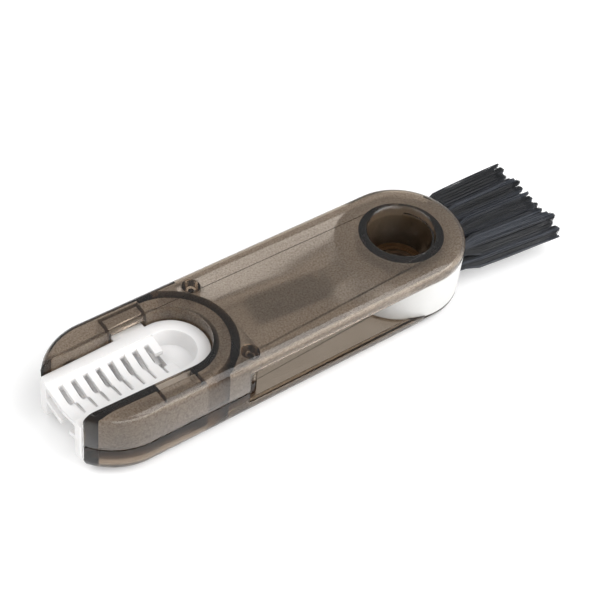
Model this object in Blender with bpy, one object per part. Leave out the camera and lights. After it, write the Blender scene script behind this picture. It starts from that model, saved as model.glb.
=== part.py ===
"""Pocket groove brush: a smoky two-part case with a soft finger comb in its U slot and a double-ended rotor.

Metres, +Z up. The case lies flat on z = 0. The rotor turns about the Z axis through the origin: it carries a
tufted brush on one side and a small twisted-wire brush on the other, and either one can face outwards.
"""

import math

import bmesh
import bpy
from mathutils import Vector

MM = 0.001
GAP = 0.3 * MM                       # clearance between pieces that touch on the real object

# Case: a stadium outline, its right end centred on the pivot
CASE_RADIUS = 16.0 * MM
CASE_STRAIGHT = 82.0 * MM            # pivot to the centre of the left end
CASE_HEIGHT = 18.6 * MM
TOP_EDGE_RADIUS = 2.3 * MM
BOTTOM_EDGE_RADIUS = 3.9 * MM
PARTING_HEIGHT = 8.5 * MM
SHELL_WALL = 1.4 * MM
TOP_PLATE = 1.6 * MM
FLOOR_HEIGHT = 2.0 * MM

# Side openings that let the rotor swing through on both sides
OPENING_START = -55.5 * MM
TOP_LIP_HEIGHT = 14.9 * MM           # underside of the top shell's lip
BOTTOM_LIP_HEIGHT = 4.7 * MM         # top of the bottom shell's lip

# U slot, slightly narrower at its mouth, and the curved wall behind it
SLOT_CENTRE = -66.8 * MM
SLOT_RADIUS = 9.45 * MM
SLOT_MOUTH_X = -100.0 * MM
SLOT_MOUTH_HALF = 8.75 * MM
SLOT_WALL = 1.5 * MM
ARC_WALL_INNER = 13.6 * MM
ARC_WALL_OUTER = 15.66 * MM

# Joining posts beside the curved wall, with a pin in a socket
POST_X = -53.5 * MM
POST_Y = 12.0 * MM
POST_RADIUS = 2.15 * MM
PIN_RADIUS = 0.8 * MM
PIN_TOP = 15.0 * MM

# Window in each slot wall that holds a lug of the comb, and the small chamber behind it
WINDOW_START = -76.8 * MM
WINDOW_END = -67.8 * MM
WINDOW_LOW = 13.0 * MM
WINDOW_HIGH = 16.5 * MM
CHAMBER_WALL = 0.8 * MM
CHAMBER_DEPTH = 14.1 * MM             # outer face of the chamber, from the centre plane

# Snap tabs of the bottom shell, inside the tips of the arms
TAB_X = -88.6 * MM
TAB_Y = 11.3 * MM
TAB_LENGTH = 3.0 * MM
TAB_WIDTH = 1.2 * MM
TAB_TOP = 12.5 * MM

# Hollow pivot of the top shell and the boss of the bottom shell that closes it
PIVOT_OUTER = 10.5 * MM
PIVOT_BORE = 8.3 * MM
PIVOT_LIP = 1.0 * MM
PAD_HEIGHT = 3.3 * MM                # the hub turns on this pad
PAD_RADIUS = 15.2 * MM
BOSS_TOP = 7.1 * MM
BOSS_WALL = 1.6 * MM
BOSS_CORE_RADIUS = 2.4 * MM          # left standing in the middle of the boss's hollow
TONGUE_DEPTH = 0.5 * MM              # snap tongue, proud of the bore's wall
TONGUE_LOW = 10.6 * MM
TONGUE_HIGH = 16.9 * MM
TONGUE_FROM = math.radians(-70.0)
TONGUE_TO = math.radians(47.0)

# Rotor
ROTOR_TURN = math.radians(-2.7)      # how far the rotor is turned at rest
HUB_RADIUS = 16.0 * MM
HUB_LOW = PAD_HEIGHT + GAP
HUB_HIGH = TOP_LIP_HEIGHT - GAP
HUB_EDGE = 0.4 * MM
BRUSH_MID = 0.5 * (BOTTOM_LIP_HEIGHT + TOP_LIP_HEIGHT)

# Tufted brush
TUFT_COLUMNS = 4
TUFT_ROWS = 2
TUFT_PITCH = 5.2 * MM
TUFT_ROW_PITCH = 5.0 * MM
TUFT_TIP_PITCH = 6.0 * MM
TUFT_RADIUS = 2.4 * MM
TUFT_SPREAD = 0.2                     # how much wider than high a tuft gets at its tip
TUFT_ROOT_RADIUS = 1.6 * MM
TUFT_TIP = 45.0 * MM                 # distance of the lower row's tips from the pivot
TUFT_ROW_STEP = 3.4 * MM             # the upper row ends this much sooner
TUFT_HOLE_WALL = 1.5 * MM            # hub material left behind each hole
ANCHOR_DEPTH = 1.2 * MM
ANCHOR_LENGTH = 2.8 * MM
ANCHOR_THICKNESS = 0.5 * MM

# Twisted-wire brush
STUB_END = -21.0 * MM
STUB_HALF_WIDTH = 3.8 * MM
STUB_HALF_HEIGHT = 3.1 * MM
WIRE_RADIUS = 0.7 * MM
WIRE_ROOT = -17.0 * MM
WIRE_TIP = -44.0 * MM
SPIRAL_START = -22.0 * MM
SPIRAL_END = -43.0 * MM
SPIRAL_RADIUS = 4.75 * MM
SPIRAL_PITCH = 2.2 * MM
SPIRAL_THICKNESS = 0.9 * MM
SPIRAL_STEPS = 24                    # sides of one turn

# Finger comb in the slot
COMB_LOW = 3.7 * MM
COMB_HIGH = 14.9 * MM
COMB_END_X = -95.8 * MM
COMB_RIM = 3.0 * MM
COMB_POCKET_FLOOR = 10.6 * MM
COMB_POCKET_DRAFT = 0.9 * MM
COMB_WEB_LOW = 8.0 * MM
COMB_POCKET_X = -68.0 * MM
FINGER_COUNT = 9
FINGER_FIRST_X = -94.6 * MM
FINGER_PITCH = 3.2 * MM
FINGER_WIDTH = 2.4 * MM
FAR_SLIT = 1.25 * MM
NEAR_SLIT = 0.55 * MM
NEAR_SHIFT = 0.8 * MM                # the near slits start this much further in, less and less so
NEAR_SHIFT_COUNT = 6
SHORT_FINGER = (-2.4 * MM, 1.7 * MM)  # the last fingers stop short and leave this open
FINGER_THICKNESS = 1.3 * MM
SLIT_START = 4.8 * MM                # the fingers part from here inwards
# Each row: top of the fingers at the wall and at the tip, then where the far and the near tips are
UPPER_ROW = (14.4 * MM, 13.1 * MM, -0.74 * MM, -0.7 * MM)
LOWER_ROW = (9.9 * MM, 8.9 * MM, -0.3 * MM, -3.6 * MM)
LUG_DEPTH = 1.5 * MM
LUG_LOW = 13.3 * MM

ARC_STEPS = 40
EDGE_STEPS = 6
OVERLAP = 0.6 * MM                   # how far an added solid reaches into its neighbour before a union
SMOOTH_BELOW = math.radians(32.0)    # edges flatter than this are shaded smooth

MATERIALS = {
    "smoky_plastic": ((0.30, 0.26, 0.22, 0.55), 0.12, 0.0),
    "white_plastic": ((0.90, 0.90, 0.88, 1.0), 0.35, 0.0),
    "white_rubber": ((0.93, 0.93, 0.92, 1.0), 0.55, 0.0),
    "dark_bristle": ((0.035, 0.04, 0.055, 1.0), 0.4, 0.0),
    "steel_wire": ((0.62, 0.62, 0.60, 1.0), 0.3, 1.0),
}


# ---------------------------------------------------------------- scene and mesh helpers

def clear_scene():
    for old in list(bpy.data.objects):
        bpy.data.objects.remove(old, do_unlink=True)


def material(slot):
    found = bpy.data.materials.get(slot)
    if found:
        return found
    color, roughness, metallic = MATERIALS[slot]
    made = bpy.data.materials.new(slot)
    made.use_nodes = True
    shader = made.node_tree.nodes["Principled BSDF"]
    shader.inputs["Base Color"].default_value = color
    shader.inputs["Alpha"].default_value = color[3]
    shader.inputs["Roughness"].default_value = roughness
    shader.inputs["Metallic"].default_value = metallic
    return made


def shade(mesh):
    mesh.shade_smooth()
    mesh.set_sharp_from_angle(angle=SMOOTH_BELOW)


def mesh_object(name, bm, slot=None):
    bmesh.ops.recalc_face_normals(bm, faces=bm.faces)
    mesh = bpy.data.meshes.new(name)
    bm.to_mesh(mesh)
    bm.free()
    made = bpy.data.objects.new(name, mesh)
    bpy.context.scene.collection.objects.link(made)
    if slot:
        mesh.materials.append(material(slot))
        shade(mesh)
    return made


def loft(name, rings, slot=None):
    """A closed solid through rings of points, with a flat cap on the first and the last ring."""
    bm = bmesh.new()
    loops = [[bm.verts.new(point) for point in ring] for ring in rings]
    for low, high in zip(loops, loops[1:]):
        for index in range(len(low)):
            after = (index + 1) % len(low)
            bm.faces.new((low[index], low[after], high[after], high[index]))
    bm.faces.new(list(reversed(loops[0])))
    bm.faces.new(loops[-1])
    return mesh_object(name, bm, slot)


def arc(centre_x, radius, start, end, steps=ARC_STEPS):
    angles = [start + (end - start) * step / steps for step in range(steps + 1)]
    return [(centre_x + radius * math.cos(a), radius * math.sin(a)) for a in angles]


def circle(radius, x=0.0, y=0.0):
    return [(x + px, y + py) for px, py in arc(0.0, radius, 0.0, 2 * math.pi, 2 * ARC_STEPS)[:-1]]


def at_height(outline, z):
    return [Vector((x, y, z)) for x, y in outline]


def stadium(inset):
    radius = CASE_RADIUS - inset
    right = arc(0.0, radius, -math.pi / 2, math.pi / 2)
    left = arc(-CASE_STRAIGHT, radius, math.pi / 2, 3 * math.pi / 2)
    return right + left


def slot_outline(offset, mouth_x=SLOT_MOUTH_X):
    """The U slot's outline, offset outwards; the walls close slightly towards the mouth."""
    radius = SLOT_RADIUS + offset
    taper = (SLOT_RADIUS - SLOT_MOUTH_HALF) / (SLOT_CENTRE - SLOT_MOUTH_X)
    half = radius - taper * (SLOT_CENTRE - mouth_x)
    closed_end = arc(SLOT_CENTRE, radius, -math.pi / 2, math.pi / 2)
    return closed_end + [(mouth_x, half), (mouth_x, -half)]


def prism(name, outline, low, high, slot=None):
    return loft(name, [at_height(outline, low), at_height(outline, high)], slot)


def cylinder(name, x, y, radius, low, high):
    return prism(name, circle(radius, x, y), low, high)


def box(name, low, high, slot=None):
    (x0, y0, z0), (x1, y1, z1) = low, high
    return prism(name, [(x0, y0), (x1, y0), (x1, y1), (x0, y1)], z0, z1, slot)


def combine(target, operation, *tools):
    """Add the tools to target, or cut them from it, one Boolean for each tool."""
    slots = list(target.data.materials)
    for tool in tools:
        modifier = target.modifiers.new(operation.lower() + "_" + tool.name, "BOOLEAN")
        modifier.operation = operation
        modifier.object = tool
        modifier.solver = "EXACT"
    scene_state = bpy.context.evaluated_depsgraph_get()
    joined = bpy.data.meshes.new_from_object(target.evaluated_get(scene_state))
    target.modifiers.clear()
    target.data = joined
    joined.name = target.name
    if slots:
        joined.materials.clear()
        joined.materials.append(slots[0])
        shade(joined)
    for tool in tools:
        bpy.data.objects.remove(tool, do_unlink=True)


# ---------------------------------------------------------------- case

def quarter(radius, steps=EDGE_STEPS):
    """Inset and drop along a rounded edge, from its side to its flat face."""
    angles = [math.pi / 2 * step / steps for step in range(steps + 1)]
    return [(radius * (1 - math.cos(a)), radius * (1 - math.sin(a))) for a in angles]


def top_body():
    rings = [at_height(stadium(0.0), PARTING_HEIGHT + GAP / 2)]
    for inset, drop in quarter(TOP_EDGE_RADIUS):
        rings.append(at_height(stadium(inset), CASE_HEIGHT - drop))
    return loft("top_shell", rings, "smoky_plastic")


def bottom_body():
    rings = [at_height(stadium(inset), drop) for inset, drop in reversed(quarter(BOTTOM_EDGE_RADIUS))]
    rings.append(at_height(stadium(0.0), PARTING_HEIGHT - GAP / 2))
    return loft("bottom_shell", rings, "smoky_plastic")


def curved_wall(name, low, high):
    """The wall behind the slot: half a ring whose ends run into the side walls."""
    outer = arc(SLOT_CENTRE, ARC_WALL_OUTER, -math.pi / 2, math.pi / 2)
    inner = arc(SLOT_CENTRE, ARC_WALL_INNER, math.pi / 2, -math.pi / 2)
    return prism(name, outer + inner, low, high)


def lug_chambers(prefix, low, high):
    """The walls of the small chamber behind each window."""
    chambers = []
    for side_name, side in (("far", 1), ("near", -1)):
        name = prefix + "_" + side_name
        near, far = sorted((side * SLOT_RADIUS, side * CHAMBER_DEPTH))
        outer = (WINDOW_START - CHAMBER_WALL, near, low), (WINDOW_END + CHAMBER_WALL, far, high)
        chamber = box(name, *outer)
        near, far = sorted((side * (SLOT_RADIUS - MM), side * (CHAMBER_DEPTH - CHAMBER_WALL)))
        inner = (WINDOW_START, near, low - MM), (WINDOW_END, far, high + MM)
        combine(chamber, "DIFFERENCE", box(name + "_inside", *inner))
        chambers.append(chamber)
    return chambers


def side_openings(name, low, high):
    """Everything right of the opening's start, except the curved wall and what is behind it."""
    reach = 1.5 * CASE_RADIUS
    opening = box(name, (OPENING_START, -reach, low), (reach, reach, high))
    kept = cylinder(name + "_keep", SLOT_CENTRE, 0.0, ARC_WALL_OUTER, low - MM, high + MM)
    combine(opening, "DIFFERENCE", kept)
    return opening


def post_pair(prefix, radius, low, high):
    names = (("far", POST_Y), ("near", -POST_Y))
    return [cylinder(prefix + "_" + side, POST_X, y, radius, low, high) for side, y in names]


def snap_tongue():
    """A sector of the pivot's wall that stands proud of the bore."""
    outer = arc(0.0, PIVOT_BORE + OVERLAP, TONGUE_FROM, TONGUE_TO)
    inner = arc(0.0, PIVOT_BORE - TONGUE_DEPTH, TONGUE_TO, TONGUE_FROM)
    return prism("snap_tongue", outer + inner, TONGUE_LOW, TONGUE_HIGH)


def pivot_bore():
    """The bore with a rounded entry at the top face."""
    rings = [at_height(circle(PIVOT_BORE), 0.0)]
    for inset, drop in quarter(PIVOT_LIP):
        rings.append(at_height(circle(PIVOT_BORE + inset), CASE_HEIGHT - drop))
    rings.append(at_height(circle(PIVOT_BORE + PIVOT_LIP), CASE_HEIGHT + MM))
    return loft("pivot_bore", rings)


def comb_windows():
    windows = []
    for side_name, side in (("far", 1), ("near", -1)):
        span = sorted((side * (SLOT_RADIUS - MM), side * (SLOT_RADIUS + SLOT_WALL + MM)))
        low = (WINDOW_START, span[0], WINDOW_LOW)
        high = (WINDOW_END, span[1], WINDOW_HIGH)
        windows.append(box("window_" + side_name, low, high))
    return windows


def build_top_shell():
    ceiling = CASE_HEIGHT - TOP_PLATE
    base = PARTING_HEIGHT + GAP / 2
    shell = top_body()
    hollow = prism("top_hollow", stadium(SHELL_WALL), PARTING_HEIGHT - MM, ceiling)
    beyond = (PARTING_HEIGHT - 2 * MM, CASE_HEIGHT)
    combine(hollow, "DIFFERENCE", prism("top_slot_wall", slot_outline(SLOT_WALL), *beyond))
    combine(hollow, "DIFFERENCE", curved_wall("top_curved_wall", *beyond))
    combine(hollow, "DIFFERENCE", *lug_chambers("top_chamber", *beyond))
    combine(shell, "DIFFERENCE", hollow, side_openings("top_opening", 0.0, TOP_LIP_HEIGHT))
    inside_plate = ceiling + OVERLAP
    combine(shell, "UNION", *post_pair("top_post", POST_RADIUS, base + GAP, inside_plate))
    combine(shell, "UNION", cylinder("pivot_tube", 0.0, 0.0, PIVOT_OUTER, PAD_HEIGHT + GAP, inside_plate))
    combine(shell, "DIFFERENCE", prism("top_slot", slot_outline(0.0), 0.0, CASE_HEIGHT + MM), pivot_bore())
    combine(shell, "UNION", snap_tongue())
    combine(shell, "DIFFERENCE", *post_pair("socket", PIN_RADIUS + GAP, 0.0, PIN_TOP + GAP))
    combine(shell, "DIFFERENCE", *comb_windows())
    return shell


def snap_tabs():
    tabs = []
    for side_name, side in (("far", 1), ("near", -1)):
        span = sorted((side * TAB_Y, side * (TAB_Y + TAB_WIDTH)))
        low = (TAB_X, span[0], FLOOR_HEIGHT - OVERLAP)
        tabs.append(box("snap_tab_" + side_name, low, (TAB_X + TAB_LENGTH, span[1], TAB_TOP)))
    return tabs


def boss_hollow(radius):
    """The moulding's ring-shaped hollow in the boss, open below."""
    hollow = cylinder("boss_hollow", 0.0, 0.0, radius, -MM, BOSS_TOP - BOSS_WALL)
    combine(hollow, "DIFFERENCE", cylinder("boss_core", 0.0, 0.0, BOSS_CORE_RADIUS, -2 * MM, BOSS_TOP))
    return hollow


def build_bottom_shell():
    shell = bottom_body()
    hollow = prism("bottom_hollow", stadium(SHELL_WALL), FLOOR_HEIGHT, PARTING_HEIGHT + MM)
    beyond = (0.0, PARTING_HEIGHT + 2 * MM)
    combine(hollow, "DIFFERENCE", prism("bottom_slot_wall", slot_outline(SLOT_WALL), *beyond))
    combine(hollow, "DIFFERENCE", curved_wall("bottom_curved_wall", *beyond))
    combine(hollow, "DIFFERENCE", *lug_chambers("bottom_chamber", *beyond))
    combine(hollow, "DIFFERENCE", cylinder("hub_pad", 0.0, 0.0, PAD_RADIUS, 0.0, PAD_HEIGHT))
    combine(shell, "DIFFERENCE", hollow)
    combine(shell, "DIFFERENCE", side_openings("bottom_opening", BOTTOM_LIP_HEIGHT, CASE_HEIGHT))
    hub_room = cylinder("hub_room", 0.0, 0.0, HUB_RADIUS + GAP, PAD_HEIGHT, CASE_HEIGHT)
    combine(shell, "DIFFERENCE", hub_room)
    combine(shell, "DIFFERENCE", prism("bottom_slot", slot_outline(0.0), -MM, CASE_HEIGHT))
    inside_floor = FLOOR_HEIGHT - OVERLAP
    combine(shell, "UNION", *post_pair("bottom_post", POST_RADIUS, inside_floor, PARTING_HEIGHT))
    combine(shell, "UNION", *post_pair("pin", PIN_RADIUS, FLOOR_HEIGHT, PIN_TOP))
    combine(shell, "UNION", *snap_tabs())
    boss_radius = PIVOT_BORE - TONGUE_DEPTH - GAP
    combine(shell, "UNION", cylinder("boss", 0.0, 0.0, boss_radius, inside_floor, BOSS_TOP))
    combine(shell, "DIFFERENCE", boss_hollow(boss_radius - BOSS_WALL))
    return shell


# ---------------------------------------------------------------- comb

def finger_bank(name, row, side):
    """One row of sloping fingers on one side: a full sheet, cut by slits."""
    wall_height, tip_height, far_tip, near_tip = row
    outer = SLOT_RADIUS - COMB_RIM + OVERLAP
    tip = far_tip if side > 0 else -near_tip
    slope = (wall_height - tip_height) / (SLOT_RADIUS - COMB_RIM - tip)
    root_height = wall_height + slope * OVERLAP
    first = FINGER_FIRST_X - FINGER_WIDTH / 2
    last = first + (FINGER_COUNT - 1) * FINGER_PITCH + FINGER_WIDTH
    profile = [
        (outer, root_height), (tip, tip_height),
        (tip, tip_height - FINGER_THICKNESS), (outer, root_height - FINGER_THICKNESS),
    ]
    rings = [[Vector((x, side * y, z)) for y, z in profile] for x in (first, last)]
    sheet = loft(name, rings)
    width, shift = (FAR_SLIT, 0.0) if side > 0 else (NEAR_SLIT, NEAR_SHIFT)
    span = sorted((side * (tip - MM), side * SLIT_START))
    for index in range(FINGER_COUNT - 1):
        middle = FINGER_FIRST_X + (index + 0.5) * FINGER_PITCH
        middle += shift * max(0.0, 1 - index / NEAR_SHIFT_COUNT)
        low, high = (middle - width / 2, span[0], 0.0), (middle + width / 2, span[1], CASE_HEIGHT)
        combine(sheet, "DIFFERENCE", box(name + "_slit_%d" % (index + 1), low, high))
    low, high = (middle, SHORT_FINGER[0], 0.0), (last + MM, SHORT_FINGER[1], CASE_HEIGHT)
    combine(sheet, "DIFFERENCE", box(name + "_opening", low, high))
    return sheet


def comb_pocket(name, floor, mouth):
    """A bowl at the closed end, between two heights; it narrows towards its floor."""
    wide = SLOT_RADIUS - GAP - COMB_RIM
    rings = []
    for radius, height in ((wide - COMB_POCKET_DRAFT, floor), (wide, mouth)):
        half_circle = arc(SLOT_CENTRE, radius, -math.pi / 2, math.pi / 2)
        rings.append(at_height(half_circle + [(COMB_POCKET_X, radius), (COMB_POCKET_X, -radius)], height))
    return loft(name, rings)


def comb_lugs():
    lugs = []
    for side_name, side in (("far", 1), ("near", -1)):
        base = SLOT_RADIUS - GAP
        span = sorted((side * (base - MM), side * (base + LUG_DEPTH)))
        low = (WINDOW_START + GAP, span[0], LUG_LOW)
        lugs.append(box("lug_" + side_name, low, (WINDOW_END - GAP, span[1], COMB_HIGH)))
    return lugs


def build_comb():
    comb = prism("comb_insert", slot_outline(-GAP, COMB_END_X), COMB_LOW, COMB_HIGH, "white_rubber")
    inner = SLOT_RADIUS - GAP - COMB_RIM
    channel_low = (COMB_END_X - MM, -inner, 0.0)
    combine(comb, "DIFFERENCE", box("comb_channel", channel_low, (COMB_POCKET_X, inner, CASE_HEIGHT)))
    combine(comb, "DIFFERENCE", comb_pocket("upper_pocket", COMB_POCKET_FLOOR, COMB_HIGH + MM))
    combine(comb, "DIFFERENCE", comb_pocket("lower_pocket", COMB_WEB_LOW, COMB_LOW - MM))
    for row_name, row in (("upper", UPPER_ROW), ("lower", LOWER_ROW)):
        for side_name, side in (("far", 1), ("near", -1)):
            combine(comb, "UNION", finger_bank(row_name + "_fingers_" + side_name, row, side))
    combine(comb, "UNION", *comb_lugs())
    return comb


# ---------------------------------------------------------------- rotor

def along_x(profile, y, z, direction=0.0, sides=24, spread=0.0):
    """Rings of a round solid along X: profile holds (x, radius), direction is the sideways slope."""
    origin = profile[0][0]
    rings = []
    for x, radius in profile:
        middle = y + direction * (x - origin)
        wide = radius * (1 + spread * (x - origin) / (profile[-1][0] - origin))
        ring = []
        for side in range(sides):
            angle = 2 * math.pi * side / sides
            ring.append(Vector((x, middle + wide * math.cos(angle), z + radius * math.sin(angle))))
        rings.append(ring)
    return rings


def tuft_places():
    """Number, sideways place, height, fan slope and tip of each tuft, by columns from the near side."""
    places = []
    for column in range(TUFT_COLUMNS):
        step = column - (TUFT_COLUMNS - 1) / 2
        slope = step * (TUFT_TIP_PITCH - TUFT_PITCH) / (TUFT_TIP - HUB_RADIUS)
        for row in range(TUFT_ROWS):
            height = BRUSH_MID + (row - (TUFT_ROWS - 1) / 2) * TUFT_ROW_PITCH
            tip = TUFT_TIP - row * TUFT_ROW_STEP
            places.append((len(places) + 1, step * TUFT_PITCH, height, slope, tip))
    return places


def tuft_hole_floor(y):
    return math.sqrt((PIVOT_OUTER + GAP) ** 2 - y ** 2) + TUFT_HOLE_WALL


def build_hub(axis):
    rims = ((HUB_EDGE, HUB_LOW), (0.0, HUB_LOW + HUB_EDGE), (0.0, HUB_HIGH - HUB_EDGE), (HUB_EDGE, HUB_HIGH))
    hub = loft("rotor_hub", [at_height(circle(HUB_RADIUS - inset), z) for inset, z in rims], "white_plastic")
    stub_low = (STUB_END, -STUB_HALF_WIDTH, BRUSH_MID - STUB_HALF_HEIGHT)
    stub_high = (-PIVOT_OUTER, STUB_HALF_WIDTH, BRUSH_MID + STUB_HALF_HEIGHT)
    combine(hub, "UNION", box("wire_stub", stub_low, stub_high))
    holes = [cylinder("hub_bore", 0.0, 0.0, PIVOT_OUTER + GAP, 0.0, CASE_HEIGHT)]
    hole_radius = TUFT_ROOT_RADIUS + GAP
    for number, y, z, slope, _ in tuft_places():
        profile = [(tuft_hole_floor(y), hole_radius), (HUB_RADIUS + MM, hole_radius)]
        holes.append(loft("tuft_hole_%d" % number, along_x(profile, y, z, slope)))
    wire_profile = [(STUB_END - MM, WIRE_RADIUS + GAP), (WIRE_ROOT + GAP, WIRE_RADIUS + GAP)]
    holes.append(loft("wire_hole", along_x(wire_profile, 0.0, BRUSH_MID)))
    combine(hub, "DIFFERENCE", *holes)
    hub.parent = axis


def build_tufts(axis):
    for number, y, z, slope, tip in tuft_places():
        floor = tuft_hole_floor(y)
        anchor_low = (floor + GAP, y - ANCHOR_LENGTH / 2, z - ANCHOR_THICKNESS / 2)
        anchor_high = (floor + GAP + ANCHOR_DEPTH, y + ANCHOR_LENGTH / 2, z + ANCHOR_THICKNESS / 2)
        anchor = box("tuft_anchor_%02d" % number, anchor_low, anchor_high, "steel_wire")
        anchor.parent = axis
        start = floor + ANCHOR_DEPTH + 2 * GAP
        surface = math.sqrt(HUB_RADIUS ** 2 - y ** 2)
        swell = 0.5 * (TUFT_ROOT_RADIUS + TUFT_RADIUS)
        profile = [
            (start, TUFT_ROOT_RADIUS), (surface, TUFT_ROOT_RADIUS), (surface + 2 * MM, swell),
            (surface + 4 * MM, TUFT_RADIUS), (tip - 0.5 * MM, TUFT_RADIUS), (tip, 0.8 * TUFT_RADIUS),
        ]
        rings = along_x(profile, y, z, slope, spread=TUFT_SPREAD)
        tuft = loft("tuft_%02d" % number, rings, "dark_bristle")
        tuft.parent = axis


def build_wire_brush(axis):
    """The twisted wire and the ribbon of bristles that winds round it."""
    wire_profile = [(WIRE_ROOT, WIRE_RADIUS), (WIRE_TIP + GAP, WIRE_RADIUS), (WIRE_TIP, 0.5 * WIRE_RADIUS)]
    wire = loft("twisted_wire", along_x(wire_profile, 0.0, BRUSH_MID), "steel_wire")
    wire.parent = axis
    root = WIRE_RADIUS + GAP
    half = SPIRAL_THICKNESS / 2
    section = ((root, half), (SPIRAL_RADIUS, half / 2), (SPIRAL_RADIUS, -half / 2), (root, -half))
    length = SPIRAL_START - SPIRAL_END - SPIRAL_THICKNESS
    rings = []
    for step in range(round(SPIRAL_STEPS * length / SPIRAL_PITCH) + 1):
        angle = 2 * math.pi * step / SPIRAL_STEPS
        middle = SPIRAL_START - half - SPIRAL_PITCH * step / SPIRAL_STEPS
        ring = []
        for radius, shift in section:
            x = middle + shift
            ring.append(Vector((x, radius * math.cos(angle), BRUSH_MID + radius * math.sin(angle))))
        rings.append(ring)
    ribbon = loft("spiral_bristles", rings, "dark_bristle")
    ribbon.parent = axis


def build_rotor():
    axis = bpy.data.objects.new("rotor_axis", None)
    bpy.context.scene.collection.objects.link(axis)
    axis.rotation_euler = (0.0, 0.0, ROTOR_TURN)
    build_hub(axis)
    build_tufts(axis)
    build_wire_brush(axis)


def main():
    clear_scene()
    build_top_shell()
    build_bottom_shell()
    build_comb()
    build_rotor()


main()
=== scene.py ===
"""Looks of the pocket groove brush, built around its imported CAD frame.

The two shells, the comb and the hub are made again with fine curves and rounded edges, the tufts and the
small brush get real filaments, and every piece gets its material. Metres, in the frame of the CAD model.
"""

import math

import bmesh
import bpy
import numpy as np
from mathutils import Matrix, Vector


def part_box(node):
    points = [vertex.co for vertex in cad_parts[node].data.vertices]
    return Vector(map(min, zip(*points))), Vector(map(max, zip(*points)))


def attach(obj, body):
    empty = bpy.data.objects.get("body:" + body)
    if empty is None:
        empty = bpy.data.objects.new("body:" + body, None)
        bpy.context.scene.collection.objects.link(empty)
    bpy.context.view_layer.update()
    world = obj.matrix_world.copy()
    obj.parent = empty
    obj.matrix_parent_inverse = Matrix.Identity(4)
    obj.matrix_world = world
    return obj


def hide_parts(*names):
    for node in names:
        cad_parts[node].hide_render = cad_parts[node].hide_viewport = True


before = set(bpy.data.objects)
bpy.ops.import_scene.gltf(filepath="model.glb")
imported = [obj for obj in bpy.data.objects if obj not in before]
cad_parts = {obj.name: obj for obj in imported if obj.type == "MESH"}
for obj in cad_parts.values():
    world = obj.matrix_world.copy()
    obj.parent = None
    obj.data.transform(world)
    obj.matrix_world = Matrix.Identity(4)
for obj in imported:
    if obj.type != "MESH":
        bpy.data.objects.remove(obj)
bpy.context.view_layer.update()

MM = 0.001
GAP = 0.3 * MM

# Case, as in the CAD model: the turning axis is the Z axis, and the case's end at +X is centred on it
_, top_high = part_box("top_shell")
bottom_low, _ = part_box("bottom_shell")
CASE_RADIUS = top_high.y
CASE_HEIGHT = top_high.z - bottom_low.z
CASE_STRAIGHT = 82.0 * MM
TOP_EDGE_RADIUS = 2.3 * MM
BOTTOM_EDGE_RADIUS = 3.9 * MM
PARTING_HEIGHT = 8.5 * MM
SHELL_WALL = 1.4 * MM
TOP_PLATE = 1.6 * MM
FLOOR_HEIGHT = 2.0 * MM
OPENING_START = -55.5 * MM
TOP_LIP_HEIGHT = 14.9 * MM
BOTTOM_LIP_HEIGHT = 4.7 * MM

SIDES = (("far", 1), ("near", -1))
SLOT_CENTRE = -66.8 * MM
SLOT_RADIUS = 9.45 * MM
SLOT_MOUTH_X = -100.0 * MM
SLOT_MOUTH_HALF = 8.75 * MM
SLOT_WALL = 1.5 * MM
ARC_WALL_INNER = 13.6 * MM
ARC_WALL_OUTER = 15.66 * MM
POST_X = -53.5 * MM
POST_Y = 12.0 * MM
POST_RADIUS = 2.15 * MM
PIN_RADIUS = 0.8 * MM
PIN_TOP = 15.0 * MM
WINDOW_START = -76.8 * MM
WINDOW_END = -67.8 * MM
WINDOW_LOW = 13.0 * MM
WINDOW_HIGH = 16.5 * MM
CHAMBER_WALL = 0.8 * MM
CHAMBER_DEPTH = 14.1 * MM
TAB_X = -88.6 * MM
TAB_Y = 11.3 * MM
TAB_LENGTH = 3.0 * MM
TAB_WIDTH = 1.2 * MM
TAB_TOP = 12.5 * MM

PIVOT_OUTER = 10.5 * MM
PIVOT_BORE = 8.3 * MM
PIVOT_LIP = 1.0 * MM
PAD_HEIGHT = 3.3 * MM
PAD_RADIUS = 15.2 * MM
BOSS_TOP = 7.1 * MM
BOSS_WALL = 1.6 * MM
BOSS_CORE_RADIUS = 2.4 * MM
TONGUE_DEPTH = 0.5 * MM
TONGUE_LOW = 10.6 * MM
TONGUE_HIGH = 16.9 * MM
TONGUE_FROM = math.radians(-70.0)
TONGUE_TO = math.radians(47.0)

# Rotor
ROTOR_TURN = math.radians(-2.7)
HUB_RADIUS = 16.0 * MM
HUB_LOW = PAD_HEIGHT + GAP
HUB_HIGH = TOP_LIP_HEIGHT - GAP
HUB_EDGE = 0.4 * MM
BRUSH_MID = 0.5 * (BOTTOM_LIP_HEIGHT + TOP_LIP_HEIGHT)
TUFT_COLUMNS = 4
TUFT_ROWS = 2
TUFT_PITCH = 5.2 * MM
TUFT_ROW_PITCH = 5.0 * MM
TUFT_TIP_PITCH = 6.0 * MM
TUFT_RADIUS = 2.4 * MM
TUFT_SIDEWAYS_SPREAD = 0.2
TUFT_ROOT_RADIUS = 1.6 * MM
TUFT_TIP = 45.0 * MM
TUFT_ROW_STEP = 3.4 * MM
TUFT_HOLE_WALL = 1.5 * MM
ANCHOR_DEPTH = 1.2 * MM
STUB_END = -21.0 * MM
STUB_HALF_WIDTH = 3.8 * MM
STUB_HALF_HEIGHT = 3.1 * MM
WIRE_RADIUS = 0.7 * MM
WIRE_ROOT = -17.0 * MM
WIRE_TIP = -44.0 * MM
SPIRAL_START = -22.0 * MM
SPIRAL_END = -43.0 * MM
SPIRAL_RADIUS = 4.75 * MM
SPIRAL_PITCH = 2.2 * MM

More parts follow.
